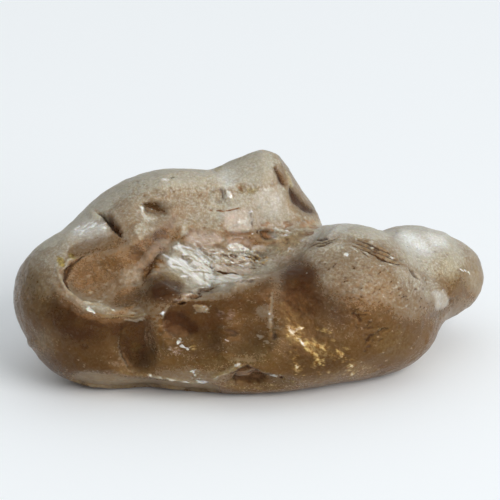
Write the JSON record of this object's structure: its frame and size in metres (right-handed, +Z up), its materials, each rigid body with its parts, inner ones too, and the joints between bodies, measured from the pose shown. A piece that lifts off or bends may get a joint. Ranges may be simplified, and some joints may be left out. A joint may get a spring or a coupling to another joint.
{
  "type": "rough zircon gemstone",
  "caption": "Water-worn rough zircon crystal: two rounded ridges with a broken trough, a thumbprint hollow and a knob.",
  "frame": {"origin": "middle of the stone's length and depth, on the surface that it rests on", "axes": "+X along the stone towards its pale narrow end, +Y from the front face to the back, +Z up"},
  "size_m": [0.0234, 0.0112, 0.01],
  "materials": {
    "zircon": "satin",
    "inclusions": "satin"
  },
  "bodies": {
    "root": {"zircon_stone": "zircon"}
  },
  "joints": []
}
